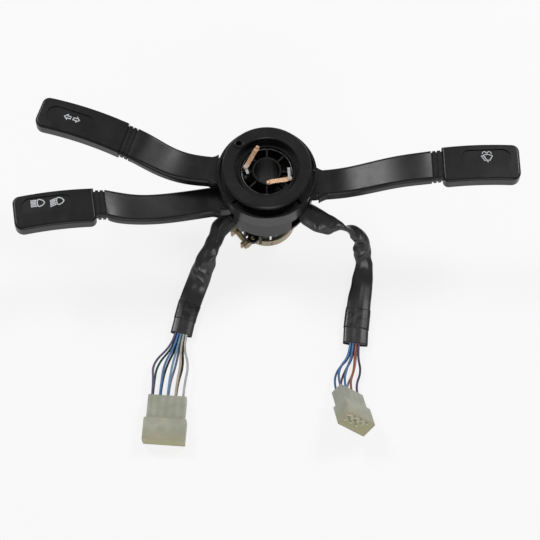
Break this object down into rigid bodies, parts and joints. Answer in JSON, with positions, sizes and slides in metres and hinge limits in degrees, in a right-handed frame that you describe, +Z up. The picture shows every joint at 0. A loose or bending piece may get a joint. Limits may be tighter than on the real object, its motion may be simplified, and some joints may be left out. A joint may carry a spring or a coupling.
{
  "type": "combination stalk switch",
  "caption": "Steering-column combination switch: a round clamped hub with a cancelling ring, long ribbed-neck control stalks and sleeved wire tails ending in nylon plugs.",
  "frame": {"origin": "on the steering column's axis, at the bottom of the clamp band", "axes": "+Z up the column towards the steering wheel, +X to the driver's right, -Y towards the driver's knees, where the wire tails lie"},
  "size_m": [0.4018, 0.2605, 0.1118],
  "materials": {
    "black_plastic": "satin moulded",
    "grip_plastic": "fine-grained",
    "natural_nylon": "milky, slightly translucent",
    "woven_sleeve": "coated woven tube",
    "spring_bronze": "rolled",
    "tinned_brass": "tin plated",
    "brass": "turned",
    "passivated_steel": "yellow passivated zinc",
    "zinc_steel": "bright zinc",
    "phenolic_board": "pressed board with copper tracks",
    "wire_violet": "extruded",
    "wire_blue": "extruded",
    "wire_pale_blue": "extruded",
    "wire_beige": "extruded",
    "wire_grey": "extruded",
    "wire_green": "extruded",
    "wire_black": "extruded",
    "wire_orange": "extruded"
  },
  "bodies": {
    "housing": {"bearing_ring": "black_plastic", "clamp_band": "passivated_steel", "clamp_nut": "zinc_steel", "clamp_screw": "zinc_steel", "column_collar": "black_plastic", "connector_terminals": "tinned_brass", "contact_carrier": "black_plastic", "housing_screws": "zinc_steel", "inner_horn_terminal": "tinned_brass", "left_connector": "natural_nylon", "left_sleeve": "woven_sleeve", "left_wire_beige": "wire_beige", "left_wire_black": "wire_black", "left_wire_black_striped": "wire_black", "left_wire_blue": "wire_blue", "left_wire_green": "wire_green", "left_wire_grey": "wire_grey", "left_wire_lilac": "wire_violet", "left_wire_pale_blue": "wire_pale_blue", "left_wire_violet": "wire_violet", "lower_contact_plate": "phenolic_board", "lower_housing": "black_plastic", "outer_horn_terminal": "tinned_brass", "retaining_ring": "zinc_steel", "right_connector": "natural_nylon", "right_sleeve": "woven_sleeve", "right_wire_blue_a": "wire_blue", "right_wire_blue_b": "wire_blue", "right_wire_blue_c": "wire_blue", "right_wire_brown": "wire_orange", "right_wire_orange": "wire_orange", "right_wire_purple": "wire_violet", "right_wire_white": "wire_grey", "upper_contact_plate": "phenolic_board", "upper_housing": "black_plastic"},
    "turn_gimbal_body": {"turn_gimbal": "natural_nylon", "turn_tip_pin": "zinc_steel", "turn_detent_plunger": "brass", "turn_plunger_spring": "zinc_steel", "turn_contact_bridge": "spring_bronze"},
    "turn_stalk": {"turn_arm": "black_plastic", "turn_grip": "grip_plastic"},
    "light_gimbal_body": {"light_gimbal": "natural_nylon", "light_tip_pin": "zinc_steel", "light_detent_plunger": "brass", "light_plunger_spring": "zinc_steel", "light_contact_bridge": "spring_bronze"},
    "light_stalk": {"light_arm": "black_plastic", "light_grip": "grip_plastic"},
    "wiper_gimbal_body": {"wiper_gimbal": "natural_nylon", "wiper_tip_pin": "zinc_steel", "wiper_detent_plunger": "brass", "wiper_plunger_spring": "zinc_steel", "wiper_contact_bridge": "spring_bronze"},
    "wiper_stalk": {"wiper_arm": "black_plastic", "wiper_grip": "grip_plastic"},
    "cancelling_ring": {"cancel_ring": "black_plastic"},
    "pawl": {"cancel_pawl": "natural_nylon"},
    "outer_finger": {"outer_horn_finger": "spring_bronze"},
    "inner_finger": {"inner_horn_finger": "spring_bronze"}
  },
  "joints": [
    {"name": "cancel_ring_spin", "type": "hinge", "parent": "housing", "child": "cancelling_ring", "pos_m": [0, 0, 0.1], "axis": [0, 0, 1], "continuous": true},
    {"name": "turn_swing", "type": "hinge", "parent": "housing", "child": "turn_gimbal_body", "pos_m": [-0.0273, 0.0037, 0.0832], "axis": [0, 0, 1], "range_deg": [-12, 12]},
    {"name": "turn_pull", "type": "hinge", "parent": "turn_gimbal_body", "child": "turn_stalk", "pos_m": [-0.0273, 0.0037, 0.0832], "axis": [0.1392, 0.9903, 0], "range_deg": [0, 5], "stiffness_Nm_per_rad": 0.6, "springref_deg": -5.73},
    {"name": "light_swing", "type": "hinge", "parent": "housing", "child": "light_gimbal_body", "pos_m": [-0.026, -0.0106, 0.0674], "axis": [0, 0, 1], "range_deg": [-9, 9]},
    {"name": "light_pull", "type": "hinge", "parent": "light_gimbal_body", "child": "light_stalk", "pos_m": [-0.026, -0.0106, 0.0674], "axis": [-0.165, 0.9863, 0], "range_deg": [0, 5], "stiffness_Nm_per_rad": 0.6, "springref_deg": -5.73},
    {"name": "wiper_swing", "type": "hinge", "parent": "housing", "child": "wiper_gimbal_body", "pos_m": [0.0273, -0.0068, 0.0832], "axis": [0, 0, 1], "range_deg": [-14, 5]},
    {"name": "wiper_pull", "type": "hinge", "parent": "wiper_gimbal_body", "child": "wiper_stalk", "pos_m": [0.0273, -0.0068, 0.0832], "axis": [0.061, -0.9981, 0], "range_deg": [0, 5], "stiffness_Nm_per_rad": 0.6, "springref_deg": -5.73},
    {"name": "cancel_pawl_slide", "type": "slide", "parent": "turn_gimbal_body", "child": "pawl", "axis": [-0.9903, 0.1392, 0], "range_m": [0, 0.0015], "stiffness_N_per_m": 60, "springref_m": -0.0005},
    {"name": "outer_finger_flex", "type": "hinge", "parent": "housing", "child": "outer_finger", "pos_m": [-0.0168, 0.0028, 0.09885], "axis": [-0.8374, 0.5466, 0], "range_deg": [0, 3.5], "stiffness_Nm_per_rad": 0.05, "springref_deg": -2.86},
    {"name": "inner_finger_flex", "type": "hinge", "parent": "housing", "child": "inner_finger", "pos_m": [0.018, -0.0072, 0.09885], "axis": [0.3475, -0.9377, 0], "range_deg": [0, 3.5], "stiffness_Nm_per_rad": 0.05, "springref_deg": -2.86}
  ]
}
